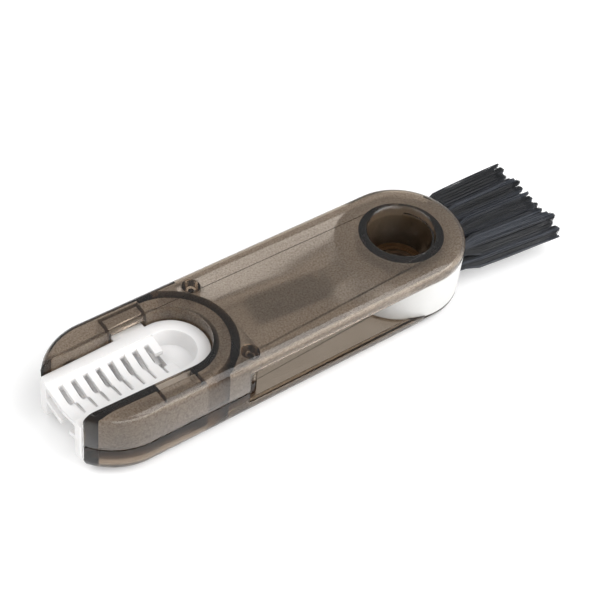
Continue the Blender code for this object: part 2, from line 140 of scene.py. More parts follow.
# Comb. A row is its top at the wall, its top at the tips, and how far the far and the near tips reach in Y
COMB_LOW = 3.7 * MM
COMB_HIGH = 14.9 * MM
COMB_END_X = -95.8 * MM
COMB_RIM = 3.0 * MM
COMB_POCKET_FLOOR = 10.6 * MM
COMB_POCKET_DRAFT = 0.9 * MM
COMB_WEB_LOW = 8.0 * MM
COMB_POCKET_X = -68.0 * MM
FINGER_COUNT = 9
FINGER_FIRST_X = -94.6 * MM
FINGER_PITCH = 3.2 * MM
FINGER_WIDTH = 2.4 * MM
FAR_SLIT = 1.25 * MM
NEAR_SLIT = 0.55 * MM
NEAR_SHIFT = 0.8 * MM
NEAR_SHIFT_COUNT = 6
SHORT_FINGER = (-2.4 * MM, 1.7 * MM)
FINGER_THICKNESS = 1.3 * MM
SLIT_START = 4.8 * MM
UPPER_ROW = (14.4 * MM, 13.1 * MM, -0.74 * MM, -0.7 * MM)
LOWER_ROW = (9.9 * MM, 8.9 * MM, -0.3 * MM, -3.6 * MM)
LUG_DEPTH = 1.5 * MM
LUG_LOW = 13.3 * MM

# Fineness of the visible meshes
ARC_STEPS = 96
EDGE_STEPS = 10
HUB_EDGE_STEPS = 4
ROD_SIDES = 40
OVERLAP = 0.6 * MM
SMOOTH_BELOW = math.radians(32.0)
ROUNDED_ABOVE = math.radians(50.0)
ROUNDING_SEGMENTS = 2
SHELL_ROUNDING = 0.16 * MM
COMB_ROUNDING = 0.22 * MM
SEED = 7
GOLDEN_HALF_TURNS = 3 - math.sqrt(5)

# Filaments of a tuft. Places across it and shares along it run from -1 to 1 and from 0 to 1
TUFT_FILAMENTS = 380
FILAMENT_RADIUS = 0.09 * MM
FILAMENT_RADIUS_SHARES = (0.8, 1.2)
FILAMENT_SIDES = 4
FILAMENT_STEPS = 9
CUT_END_FROM = 0.97
CUT_END_SIZE = 0.7
SQUARENESS = 4
SWELL_LENGTH = 4 * MM
LOCK_PLACES = ((-0.65, -0.55), (0.0, -0.7), (0.65, -0.5), (-0.6, 0.5), (0.05, 0.65), (0.65, 0.6))
LOCK_PLACE_SPREAD = 0.12
LOCK_LENGTHS_MM = (0.0, -0.2, -0.5, -0.8, -1.2, -1.7)
LOCK_SLANT = 1.9 * MM
TIP_SPREAD_MM = 0.4
LOCK_GATHER = 0.4
LOCK_GATHER_POWER = 6
SWAY = 0.07
# Stripes of painted highlight and painted shade across each tuft: bright ridges and dark valleys painted
# into the filaments' tones
SHEEN_BAND_SPREAD = 3.6
SHEEN_BAND_SHARE = 0.7
SHEEN_BAND_POWER = 3
TONE_SHARE = 0.3
TONE_SHAPE = (1.1, 2.2)

# Small brush
STRAND_RADIUS = 0.36 * MM
STRAND_PITCH = 3.4 * MM
STRAND_STEPS = 220
STRAND_SIDES = 10
NOSE_LENGTH = 0.8 * MM
NOSE_REACH = 0.05
NOSE_TAPER = (0.9, 0.7, 0.35)
SPIRAL_FILAMENTS = 1500
SPIRAL_FILAMENT_RADIUS = 0.06 * MM
SPIRAL_FILAMENT_SIDES = 3
SPIRAL_FILAMENT_STEPS = 4
SPIRAL_INSET = 0.4 * MM
SPIRAL_TURN_SPREAD = 0.05
SPIRAL_LENGTH_SHARES = (0.93, 1.0)
SPIRAL_LEAN_MM = 0.16
SPIRAL_TONE_SHAPE = (1.6, 3.0)

# Smoke-brown plastic. A noise is its scale per metre, its detail and its roughness. A relief is its strength
# and depth. Ranges and stops run from a noise's low values to its high ones
SMOKE_COLOR = (0.46, 0.335, 0.19, 1.0)
TOP_DENSITY = 410.0
BOTTOM_DENSITY = 680.0
TOP_FROST = 1.0
BOTTOM_FROST = 0.12
FROST_CLEARNESS = 0.55
SPECKLE_NOISE = (2300.0, 3.0, 0.7)
PATCH_NOISE = (160.0, 4.0, 0.6)
MILK = ((0.35, (0.52, 0.47, 0.43)), (0.65, (1.0, 0.95, 0.90)))
CLEAR = ((0.3, (0.93, 0.91, 0.88)), (0.7, (1.0, 0.99, 0.97)))
MATT = (0.1, 0.32)
GLOSS = (0.06, 0.15)
SMOKE_RELIEF = (0.4, 0.02 * MM)
SMOKE_IOR = 1.5

# White parts
FLOW_STRETCH = (60.0, 130.0, 130.0)
FLOW_NOISE = (1.0, 3.0)
SKIN_NOISE = (2600.0, 2.0)
SKIN_RELIEF = (0.35, 0.03 * MM)
RUBBER_COLORS = ((0.35, (0.77, 0.76, 0.755)), (0.65, (0.81, 0.80, 0.795)))
RUBBER_ROUGHNESS = 0.5
RUBBER_SOFTNESS = 0.3
HUB_COLORS = ((0.35, (0.57, 0.565, 0.55)), (0.65, (0.60, 0.595, 0.585)))
HUB_ROUGHNESS = 0.34
HUB_SOFTNESS = 0.15
ROUGHNESS_SPREAD = 0.06
SOFT_DEPTH = (1.2 * MM, 1.1 * MM, 1.0 * MM)
WHITE_IOR = 1.48

# Filaments and wire
# Nylon colours from dark to light: the filaments' own tones, and at the light end the painted highlight of
# the tuft bands
NYLON_TONES_AND_SHEEN = ((0.0, (0.003, 0.0035, 0.005)), (0.4, (0.010, 0.012, 0.017)), (1.0, (0.058, 0.066, 0.084)))
NYLON_STRETCH = (120.0, 5200.0, 5200.0)
NYLON_NOISE = (1.0, 2.0)
NYLON_RELIEF = (0.3, 0.02 * MM)
NYLON_ROUGHNESS = (0.3, 0.5)
NYLON_IOR = 1.53
STEEL_TONES = ((0.3, (0.42, 0.42, 0.41)), (0.7, (0.66, 0.66, 0.64)))
STEEL_STRETCH = (300.0, 4000.0, 4000.0)
STEEL_NOISE = (1.0, 3.0)
STEEL_RELIEF = (0.3, 0.01 * MM)
STEEL_ROUGHNESS = (0.22, 0.42)

# Stage. A light is its name, place, size and power
FLOOR_HALF_SIDE = 6.0
FLOOR_NOISE = (25.0, 2.0)
FLOOR_TONES = ((0.3, (0.90, 0.90, 0.90)), (0.7, (0.92, 0.92, 0.92)))
FLOOR_ROUGHNESS = 0.9
FLOOR_SPECULAR = 0.1
FLOOR_GLOW = 0.18
SKY_STRENGTH = 0.57
WHITE = (1.0, 1.0, 1.0, 1.0)
LIGHT_TARGET = Vector((-0.035, 0.0, 0.01))
LIGHTS = (
    ("key_light", (-0.5, 0.35, 0.9), (0.7, 0.7), 3.0),
    ("front_fill", (-0.2, -0.9, 0.45), (0.9, 0.5), 3.5),
    ("edge_light", (0.42, -0.55, 0.6), (0.62, 1.3), 8.0),
)

# Camera
CAMERA_TARGET = Vector((-35.03, -5.77, 18.6)) * MM
CAMERA_DISTANCE = 376.69 * MM
CAMERA_AZIMUTH = math.radians(-41.17)
CAMERA_ELEVATION = math.radians(46.20)
CAMERA_ROLL = math.radians(6.74)
CAMERA_LENS = 97.44
CAMERA_SENSOR = 36.0
CAMERA_NEAREST = 10 * MM


# ---------------------------------------------------------------- materials

def new_material(name):
    made = bpy.data.materials.new(name)
    made.use_nodes = True
    made.node_tree.nodes.clear()
    return made, made.node_tree


def add(tree, kind, **sockets):
    """A node with its input sockets set; a socket given another node's output gets linked."""
    node = tree.nodes.new(kind)
    for name, value in sockets.items():
        socket = node.inputs[name.replace("_", " ")]
        if isinstance(value, bpy.types.NodeSocket):
            tree.links.new(value, socket)
        else:
            socket.default_value = value
    return node


def ramp(tree, factor, stops):
    """Colours along 0..1; a stop is its place and its colour."""
    node = tree.nodes.new("ShaderNodeValToRGB")
    tree.links.new(factor, node.inputs["Fac"])
    elements = node.color_ramp.elements
    while len(elements) < len(stops):
        elements.new(0.5)
    for element, (place, color) in zip(elements, stops):
        element.position = place
        element.color = (*color, 1.0)
    return node.outputs["Color"]


def level(tree, factor, low, high):
    """Maps 0..1 to low..high."""
    node = add(tree, "ShaderNodeMapRange", Value=factor, To_Min=low, To_Max=high)
    return node.outputs["Result"]


def between(tree, share, low, high):
    """One number for share 0, another for share 1."""
    node = tree.nodes.new("ShaderNodeMix")
    for socket, value in ((node.inputs[0], share), (node.inputs[2], low), (node.inputs[3], high)):
        tree.links.new(value, socket)
    return node.outputs[0]


def blend(tree, share, low, high):
    """One colour for share 0, another for share 1."""
    node = tree.nodes.new("ShaderNodeMix")
    node.data_type = "RGBA"
    for socket, value in ((node.inputs[0], share), (node.inputs[6], low), (node.inputs[7], high)):
        tree.links.new(value, socket)
    return node.outputs[2]


def noise(tree, place, scale, detail, rough=0.5):
    node = add(tree, "ShaderNodeTexNoise", Vector=place, Scale=scale, Detail=detail, Roughness=rough)
    return node.outputs["Fac"]


def stretched(tree, place, scale):
    """Places scaled by axis, so that a noise of scale 1 on them is drawn out along one axis."""
    node = add(tree, "ShaderNodeMapping", Vector=place, Scale=scale)
    return node.outputs["Vector"]


def object_place(tree):
    return tree.nodes.new("ShaderNodeTexCoord").outputs["Object"]


def mesh_value(tree, name):
    """A number that the mesh carries in an attribute."""
    node = tree.nodes.new("ShaderNodeAttribute")
    node.attribute_name = name
    return node.outputs["Fac"]


def bump(tree, height, strength, distance):
    """The normal of a relief with this height map."""
    node = add(tree, "ShaderNodeBump", Height=height, Strength=strength, Distance=distance)
    return node.outputs["Normal"]


def output(tree, surface, volume=None):
    node = tree.nodes.new("ShaderNodeOutputMaterial")
    tree.links.new(surface, node.inputs["Surface"])
    if volume:
        tree.links.new(volume, node.inputs["Volume"])


def smoky_plastic(name, density):
    """Clear smoke-brown plastic that darkens with depth. Its frosted faces are matt and milky."""
    made, tree = new_material(name)
    place = object_place(tree)
    frost = mesh_value(tree, "frost")
    speckle = noise(tree, place, *SPECKLE_NOISE)
    patches = noise(tree, place, *PATCH_NOISE)
    matt = level(tree, speckle, *MATT)
    gloss = level(tree, patches, *GLOSS)
    milk = ramp(tree, speckle, MILK)
    clear = ramp(tree, patches, CLEAR)
    shader = add(
        tree, "ShaderNodeBsdfPrincipled",
        Base_Color=blend(tree, frost, clear, milk),
        Roughness=between(tree, frost, gloss, matt),
        Normal=bump(tree, between(tree, frost, patches, speckle), *SMOKE_RELIEF),
        IOR=SMOKE_IOR,
    )
    tree.links.new(level(tree, frost, 1.0, FROST_CLEARNESS), shader.inputs["Transmission Weight"])
    depth = add(tree, "ShaderNodeVolumeAbsorption", Color=SMOKE_COLOR, Density=density)
    output(tree, shader.outputs["BSDF"], depth.outputs["Volume"])
    return made


def moulded_white(name, colors, rough, soft):
    """White moulded plastic or rubber with faint flow marks and a fine skin."""
    made, tree = new_material(name)
    place = object_place(tree)
    flow = noise(tree, stretched(tree, place, FLOW_STRETCH), *FLOW_NOISE)
    skin = noise(tree, place, *SKIN_NOISE)
    shader = add(
        tree, "ShaderNodeBsdfPrincipled",
        Base_Color=ramp(tree, flow, colors),
        Roughness=level(tree, flow, rough - ROUGHNESS_SPREAD, rough + ROUGHNESS_SPREAD),
        Normal=bump(tree, skin, *SKIN_RELIEF),
        IOR=WHITE_IOR,
    )
    shader.inputs["Subsurface Weight"].default_value = soft
    shader.inputs["Subsurface Radius"].default_value = SOFT_DEPTH
    shader.inputs["Subsurface Scale"].default_value = 1.0
    output(tree, shader.outputs["BSDF"])
    return made


def filament_material():
    """Blue-black nylon: each filament has its own tone plus painted highlight and shade stripes across its
    tuft, a soft gloss and fine drawn lines.
    """
    made, tree = new_material("dark_bristle_nylon")
    place = object_place(tree)
    tone = mesh_value(tree, "tone")
    drawn = noise(tree, stretched(tree, place, NYLON_STRETCH), *NYLON_NOISE)
    shader = add(
        tree, "ShaderNodeBsdfPrincipled",
        Base_Color=ramp(tree, tone, NYLON_TONES_AND_SHEEN),
        Roughness=level(tree, drawn, *NYLON_ROUGHNESS),
        Normal=bump(tree, drawn, *NYLON_RELIEF),
        IOR=NYLON_IOR,
    )
    output(tree, shader.outputs["BSDF"])
    return made


def steel_material():
    """Drawn steel wire with fine lines along it."""
    made, tree = new_material("steel_wire_drawn")
    place = object_place(tree)
    drawn = noise(tree, stretched(tree, place, STEEL_STRETCH), *STEEL_NOISE)
    shader = add(
        tree, "ShaderNodeBsdfPrincipled",
        Base_Color=ramp(tree, drawn, STEEL_TONES),
        Roughness=level(tree, drawn, *STEEL_ROUGHNESS),
        Normal=bump(tree, drawn, *STEEL_RELIEF),
        Metallic=1.0,
    )
    output(tree, shader.outputs["BSDF"])
    return made


def floor_material():
    """Matt pale paper with a faint mottle and a faint glow."""
    made, tree = new_material("pale_floor")
    place = object_place(tree)
    mottle = noise(tree, place, *FLOOR_NOISE)
    shader = add(
        tree, "ShaderNodeBsdfPrincipled",
        Base_Color=ramp(tree, mottle, FLOOR_TONES),
        Roughness=FLOOR_ROUGHNESS,
    )
    shader.inputs["Specular IOR Level"].default_value = FLOOR_SPECULAR
    shader.inputs["Emission Color"].default_value = WHITE
    shader.inputs["Emission Strength"].default_value = FLOOR_GLOW
    output(tree, shader.outputs["BSDF"])
    return made


# ---------------------------------------------------------------- meshes

def link(name, mesh):
    made = bpy.data.objects.new(name, mesh)
    bpy.context.scene.collection.objects.link(made)
    return made


def shade(mesh):
    mesh.shade_smooth()
    mesh.set_sharp_from_angle(angle=SMOOTH_BELOW)


def loft(name, rings, surface):
    """A closed solid through rings of points, with a flat cap on the first and the last ring."""
    bm = bmesh.new()
    loops = [[bm.verts.new(point) for point in ring] for ring in rings]
    for low, high in zip(loops, loops[1:]):
        for index in range(len(low)):
            after = (index + 1) % len(low)
            bm.faces.new((low[index], low[after], high[after], high[index]))
    bm.faces.new(list(reversed(loops[0])))
    bm.faces.new(loops[-1])
    bmesh.ops.recalc_face_normals(bm, faces=bm.faces)
    mesh = bpy.data.meshes.new(name)
    bm.to_mesh(mesh)
    bm.free()
    mesh.materials.append(surface)
    return link(name, mesh)


def arc(centre_x, radius, start, end, steps=ARC_STEPS):
    """Points (x, y) along an arc about a point of the long axis."""
    angles = [start + (end - start) * step / steps for step in range(steps + 1)]
    return [(centre_x + radius * math.cos(a), radius * math.sin(a)) for a in angles]


def circle(radius, x=0.0, y=0.0):
    return [(x + px, y + py) for px, py in arc(0.0, radius, 0.0, 2 * math.pi, 2 * ARC_STEPS)[:-1]]


def at_height(outline, z):
    return [Vector((x, y, z)) for x, y in outline]


def stadium(inset):
    """The case's outline, moved inwards."""
    radius = CASE_RADIUS - inset
    right = arc(0.0, radius, -math.pi / 2, math.pi / 2)
    left = arc(-CASE_STRAIGHT, radius, math.pi / 2, 3 * math.pi / 2)
    return right + left


def slot_outline(offset, mouth_x=SLOT_MOUTH_X):
    """The slot's outline, moved outwards: a half circle whose sides close in a little to the mouth."""
    radius = SLOT_RADIUS + offset
    taper = (SLOT_RADIUS - SLOT_MOUTH_HALF) / (SLOT_CENTRE - SLOT_MOUTH_X)
    half = radius - taper * (SLOT_CENTRE - mouth_x)
    closed_end = arc(SLOT_CENTRE, radius, -math.pi / 2, math.pi / 2)
    return closed_end + [(mouth_x, half), (mouth_x, -half)]


def prism(name, outline, low, high, surface):
    return loft(name, [at_height(outline, low), at_height(outline, high)], surface)


def cylinder(name, x, y, radius, low, high, surface):
    return prism(name, circle(radius, x, y), low, high, surface)


def box(name, low, high, surface):
    (x0, y0, z0), (x1, y1, z1) = low, high
    return prism(name, [(x0, y0), (x1, y0), (x1, y1), (x0, y1)], z0, z1, surface)


def settle(target):
    """Applies the modifiers of target."""
    state = bpy.context.evaluated_depsgraph_get()
    mesh = bpy.data.meshes.new_from_object(target.evaluated_get(state))
    target.modifiers.clear()
    target.data = mesh


def combine(target, operation, *tools):
    """Adds the tools to target, or cuts them from it; a cut face keeps its tool's material."""
    for tool in tools:
        modifier = target.modifiers.new(tool.name, "BOOLEAN")
        modifier.operation = operation
        modifier.object = tool
        modifier.solver = "EXACT"
        modifier.material_mode = "TRANSFER"
    settle(target)
    for tool in tools:
        bpy.data.objects.remove(tool, do_unlink=True)


def round_edges(target, width):
    """Rounds the sharp edges. Faces with many corners are cut up first, so that none folds over."""
    cut = target.modifiers.new("triangles", "TRIANGULATE")
    cut.min_vertices = 5
    modifier = target.modifiers.new("rounding", "BEVEL")
    modifier.width = width
    modifier.segments = ROUNDING_SEGMENTS
    modifier.limit_method = "ANGLE"
    modifier.angle_limit = ROUNDED_ABOVE
    modifier.use_clamp_overlap = False
    settle(target)
    shade(target.data)


def mark_frosted(target, frosted, share, surface):
    """Turns the frosted slot into a face attribute, so that the whole piece is one plastic."""
    mesh = target.data
    slot = list(mesh.materials).index(frosted)
    frost = mesh.attributes.new("frost", "FLOAT", "FACE")
    for face in mesh.polygons:
        frost.data[face.index].value = share if face.material_index == slot else 0.0
        face.material_index = 0
    mesh.materials.clear()
    mesh.materials.append(surface)


def quarter(radius, steps=EDGE_STEPS):
    """Inset and drop along a rounded edge, from its side to its flat face."""
    angles = [math.pi / 2 * step / steps for step in range(steps + 1)]
    return [(radius * (1 - math.cos(a)), radius * (1 - math.sin(a))) for a in angles]


# ---------------------------------------------------------------- case

def curved_wall(name, low, high, surface):
    """The wall that runs round behind the slot."""
    outer = arc(SLOT_CENTRE, ARC_WALL_OUTER, -math.pi / 2, math.pi / 2)
    inner = arc(SLOT_CENTRE, ARC_WALL_INNER, math.pi / 2, -math.pi / 2)
    return prism(name, outer + inner, low, high, surface)


def lug_chambers(prefix, low, high, surface):
    """Thin walls round the room that each lug of the comb reaches into."""
    chambers = []
    for side_name, side in SIDES:
        name = prefix + "_" + side_name
        near, far = sorted((side * SLOT_RADIUS, side * CHAMBER_DEPTH))
        outer = (WINDOW_START - CHAMBER_WALL, near, low), (WINDOW_END + CHAMBER_WALL, far, high)
        chamber = box(name, *outer, surface)
        near, far = sorted((side * (SLOT_RADIUS - MM), side * (CHAMBER_DEPTH - CHAMBER_WALL)))
        inner = (WINDOW_START, near, low - MM), (WINDOW_END, far, high + MM)
        combine(chamber, "DIFFERENCE", box(name + "_inside", *inner, surface))
        chambers.append(chamber)
    return chambers


def side_openings(name, low, high, surface):
    """What opens both long sides, from behind the curved wall to past the turning axis."""
    reach = 1.5 * CASE_RADIUS
    opening = box(name, (OPENING_START, -reach, low), (reach, reach, high), surface)
    kept = cylinder(name + "_keep", SLOT_CENTRE, 0.0, ARC_WALL_OUTER, low - MM, high + MM, surface)
    combine(opening, "DIFFERENCE", kept)
    return opening


def post_pair(prefix, radius, low, high, surface):
    return [cylinder(prefix + side, POST_X, y * POST_Y, radius, low, high, surface) for side, y in SIDES]


def snap_tongue(surface):
    outer = arc(0.0, PIVOT_BORE + OVERLAP, TONGUE_FROM, TONGUE_TO)
    inner = arc(0.0, PIVOT_BORE - TONGUE_DEPTH, TONGUE_TO, TONGUE_FROM)
    return prism("snap_tongue", outer + inner, TONGUE_LOW, TONGUE_HIGH, surface)


def pivot_bore(surface):
    """The finger hole, with a rounded lip at the top."""
    rings = [at_height(circle(PIVOT_BORE), 0.0)]
    for inset, drop in quarter(PIVOT_LIP):
        rings.append(at_height(circle(PIVOT_BORE + inset), CASE_HEIGHT - drop))
    rings.append(at_height(circle(PIVOT_BORE + PIVOT_LIP), CASE_HEIGHT + MM))
    return loft("pivot_bore", rings, surface)


def comb_windows(surface):
    windows = []
    for side_name, side in SIDES:
        near, far = sorted((side * (SLOT_RADIUS - MM), side * (SLOT_RADIUS + SLOT_WALL + MM)))
        low = (WINDOW_START, near, WINDOW_LOW)
        windows.append(box("window_" + side_name, low, (WINDOW_END, far, WINDOW_HIGH), surface))
    return windows


def make_top_case(polished, frosted):
    ceiling = CASE_HEIGHT - TOP_PLATE
    base = PARTING_HEIGHT + GAP / 2
    rings = [at_height(stadium(0.0), base)]
    for inset, drop in quarter(TOP_EDGE_RADIUS):
        rings.append(at_height(stadium(inset), CASE_HEIGHT - drop))
    shell = loft("top_case", rings, polished)
    hollow = prism("top_hollow", stadium(SHELL_WALL), PARTING_HEIGHT - MM, ceiling, frosted)
    beyond = (PARTING_HEIGHT - 2 * MM, CASE_HEIGHT, frosted)
    slot_wall = prism("top_slot_wall", slot_outline(SLOT_WALL), *beyond)
    chambers = lug_chambers("top_chamber", *beyond)
    combine(hollow, "DIFFERENCE", slot_wall, curved_wall("top_wall", *beyond), *chambers)
    combine(shell, "DIFFERENCE", hollow, side_openings("top_opening", 0.0, TOP_LIP_HEIGHT, polished))
    inside_plate = ceiling + OVERLAP
    combine(shell, "UNION", *post_pair("top_post_", POST_RADIUS, base + GAP, inside_plate, polished))
    tube = cylinder("pivot_tube", 0.0, 0.0, PIVOT_OUTER, PAD_HEIGHT + GAP, inside_plate, polished)
    combine(shell, "UNION", tube)
    slot = prism("top_slot", slot_outline(0.0), 0.0, CASE_HEIGHT + MM, polished)
    combine(shell, "DIFFERENCE", slot, pivot_bore(polished))
    combine(shell, "UNION", snap_tongue(polished))
    sockets = post_pair("socket_", PIN_RADIUS + GAP, 0.0, PIN_TOP + GAP, polished)
    combine(shell, "DIFFERENCE", *sockets, *comb_windows(polished))
    return shell


def snap_tabs(surface):
    tabs = []
    for side_name, side in SIDES:
        near, far = sorted((side * TAB_Y, side * (TAB_Y + TAB_WIDTH)))
        low = (TAB_X, near, FLOOR_HEIGHT - OVERLAP)
        tabs.append(box("snap_tab_" + side_name, low, (TAB_X + TAB_LENGTH, far, TAB_TOP), surface))
    return tabs


def boss_hollow(radius, surface):
    """The ring-shaped hollow under the boss that closes the pivot."""
    hollow = cylinder("boss_hollow", 0.0, 0.0, radius, -MM, BOSS_TOP - BOSS_WALL, surface)
    core = cylinder("boss_core", 0.0, 0.0, BOSS_CORE_RADIUS, -2 * MM, BOSS_TOP, surface)
    combine(hollow, "DIFFERENCE", core)
    return hollow


def make_bottom_case(polished, frosted):
    rings = [at_height(stadium(inset), drop) for inset, drop in reversed(quarter(BOTTOM_EDGE_RADIUS))]
    rings.append(at_height(stadium(0.0), PARTING_HEIGHT - GAP / 2))
    shell = loft("bottom_case", rings, polished)
    hollow = prism("bottom_hollow", stadium(SHELL_WALL), FLOOR_HEIGHT, PARTING_HEIGHT + MM, frosted)
    beyond = (0.0, PARTING_HEIGHT + 2 * MM, frosted)
    slot_wall = prism("bottom_slot_wall", slot_outline(SLOT_WALL), *beyond)
    pad = cylinder("hub_pad", 0.0, 0.0, PAD_RADIUS, 0.0, PAD_HEIGHT, frosted)
    chambers = lug_chambers("bottom_chamber", *beyond)
    combine(hollow, "DIFFERENCE", slot_wall, curved_wall("bottom_wall", *beyond), *chambers, pad)
    opening = side_openings("bottom_opening", BOTTOM_LIP_HEIGHT, CASE_HEIGHT, polished)
    hub_room = cylinder("hub_room", 0.0, 0.0, HUB_RADIUS + GAP, PAD_HEIGHT, CASE_HEIGHT, polished)
    slot = prism("bottom_slot", slot_outline(0.0), -MM, CASE_HEIGHT, polished)
    combine(shell, "DIFFERENCE", hollow, opening, hub_room, slot)
    inside_floor = FLOOR_HEIGHT - OVERLAP
    combine(shell, "UNION", *post_pair("bottom_post_", POST_RADIUS, inside_floor, PARTING_HEIGHT, polished))
    combine(shell, "UNION", *post_pair("pin_", PIN_RADIUS, FLOOR_HEIGHT, PIN_TOP, polished))
    combine(shell, "UNION", *snap_tabs(polished))
    boss_radius = PIVOT_BORE - TONGUE_DEPTH - GAP
    combine(shell, "UNION", cylinder("boss", 0.0, 0.0, boss_radius, inside_floor, BOSS_TOP, polished))
    combine(shell, "DIFFERENCE", boss_hollow(boss_radius - BOSS_WALL, frosted))
    return shell


# ---------------------------------------------------------------- comb

def finger_bank(name, row, side, surface):
    """One row of fingers on one side: a sloping sheet with slits, and a shorter last finger."""
    wall_height, tip_height, far_tip, near_tip = row
    outer = SLOT_RADIUS - COMB_RIM + OVERLAP
    tip = far_tip if side > 0 else -near_tip
    slope = (wall_height - tip_height) / (SLOT_RADIUS - COMB_RIM - tip)
    root_height = wall_height + slope * OVERLAP
    first = FINGER_FIRST_X - FINGER_WIDTH / 2
    last = first + (FINGER_COUNT - 1) * FINGER_PITCH + FINGER_WIDTH
    profile = [
        (outer, root_height), (tip, tip_height),
        (tip, tip_height - FINGER_THICKNESS), (outer, root_height - FINGER_THICKNESS),
    ]
    sheet = loft(name, [[Vector((x, side * y, z)) for y, z in profile] for x in (first, last)], surface)
    width, shift = (FAR_SLIT, 0.0) if side > 0 else (NEAR_SLIT, NEAR_SHIFT)
    near, far = sorted((side * (tip - MM), side * SLIT_START))
    cuts = []
    for index in range(FINGER_COUNT - 1):
        middle = FINGER_FIRST_X + (index + 0.5) * FINGER_PITCH
        middle += shift * max(0.0, 1 - index / NEAR_SHIFT_COUNT)
        low, high = (middle - width / 2, near, 0.0), (middle + width / 2, far, CASE_HEIGHT)
        cuts.append(box(name + "_slit_%d" % index, low, high, surface))
    low, high = (middle, SHORT_FINGER[0], 0.0), (last + MM, SHORT_FINGER[1], CASE_HEIGHT)
    combine(sheet, "DIFFERENCE", *cuts, box(name + "_opening", low, high, surface))
    return sheet


def comb_pocket(name, floor, mouth, surface):
    """The round pocket at the comb's closed end, which widens to its mouth."""
    wide = SLOT_RADIUS - GAP - COMB_RIM
    rings = []
    for radius, height in ((wide - COMB_POCKET_DRAFT, floor), (wide, mouth)):
        half_circle = arc(SLOT_CENTRE, radius, -math.pi / 2, math.pi / 2)
        rings.append(at_height(half_circle + [(COMB_POCKET_X, radius), (COMB_POCKET_X, -radius)], height))
    return loft(name, rings, surface)


def comb_lugs(surface):
    lugs = []
    for side_name, side in SIDES:
        base = SLOT_RADIUS - GAP
        near, far = sorted((side * (base - MM), side * (base + LUG_DEPTH)))
        low = (WINDOW_START + GAP, near, LUG_LOW)
        lugs.append(box("lug_" + side_name, low, (WINDOW_END - GAP, far, COMB_HIGH), surface))
    return lugs


def make_comb(white):
    comb = prism("finger_comb", slot_outline(-GAP, COMB_END_X), COMB_LOW, COMB_HIGH, white)
    inner = SLOT_RADIUS - GAP - COMB_RIM
    channel = box("channel", (COMB_END_X - MM, -inner, 0.0), (COMB_POCKET_X, inner, CASE_HEIGHT), white)
    upper = comb_pocket("upper_pocket", COMB_POCKET_FLOOR, COMB_HIGH + MM, white)
    lower = comb_pocket("lower_pocket", COMB_WEB_LOW, COMB_LOW - MM, white)
    combine(comb, "DIFFERENCE", channel, upper, lower)
    banks = []
    for row_name, row in (("upper", UPPER_ROW), ("lower", LOWER_ROW)):
        for side_name, side in SIDES:
            banks.append(finger_bank(row_name + "_fingers_" + side_name, row, side, white))
    combine(comb, "UNION", *banks, *comb_lugs(white))
    return comb


# ---------------------------------------------------------------- rotor

def along_x(profile, y, z, direction=0.0):
    """Rings of a round rod along X, from (x, radius) pairs; direction is its slope to the side."""
    origin = profile[0][0]
    rings = []
    for x, radius in profile:
        middle = y + direction * (x - origin)
        ring = []
        for side in range(ROD_SIDES):
            angle = 2 * math.pi * side / ROD_SIDES
            ring.append(Vector((x, middle + radius * math.cos(angle), z + radius * math.sin(angle))))
        rings.append(ring)
    return rings


def tuft_places():
    """Number, sideways place, height, fan slope and tip of each tuft, by columns from the near side."""
    places = []
    for column in range(TUFT_COLUMNS):
        step = column - (TUFT_COLUMNS - 1) / 2
        slope = step * (TUFT_TIP_PITCH - TUFT_PITCH) / (TUFT_TIP - HUB_RADIUS)
        for row in range(TUFT_ROWS):
            height = BRUSH_MID + (row - (TUFT_ROWS - 1) / 2) * TUFT_ROW_PITCH
            tip = TUFT_TIP - row * TUFT_ROW_STEP
            places.append((len(places) + 1, step * TUFT_PITCH, height, slope, tip))
    return places


def tuft_hole_floor(y):
    """Where a tuft's hole ends, short of the pivot's bore."""
    return math.sqrt((PIVOT_OUTER + GAP) ** 2 - y ** 2) + TUFT_HOLE_WALL


def make_hub(white):
    edge = quarter(HUB_EDGE, HUB_EDGE_STEPS)
    rings = [at_height(circle(HUB_RADIUS - inset), HUB_LOW + drop) for inset, drop in reversed(edge)]
    rings += [at_height(circle(HUB_RADIUS - inset), HUB_HIGH - drop) for inset, drop in edge]
    hub = loft("hub", rings, white)
    stub_low = (STUB_END, -STUB_HALF_WIDTH, BRUSH_MID - STUB_HALF_HEIGHT)
    stub_high = (-PIVOT_OUTER, STUB_HALF_WIDTH, BRUSH_MID + STUB_HALF_HEIGHT)
    combine(hub, "UNION", box("wire_stub", stub_low, stub_high, white))
    holes = [cylinder("hub_bore", 0.0, 0.0, PIVOT_OUTER + GAP, 0.0, CASE_HEIGHT, white)]
    radius = TUFT_ROOT_RADIUS + GAP
    for number, y, z, slope, _ in tuft_places():
        profile = [(tuft_hole_floor(y), radius), (HUB_RADIUS + MM, radius)]
        holes.append(loft("tuft_hole_%d" % number, along_x(profile, y, z, slope), white))
    wire_profile = [(STUB_END - MM, WIRE_RADIUS + GAP), (WIRE_ROOT + GAP, WIRE_RADIUS + GAP)]
    holes.append(loft("wire_hole", along_x(wire_profile, 0.0, BRUSH_MID), white))
    combine(hub, "DIFFERENCE", *holes)
    return hub


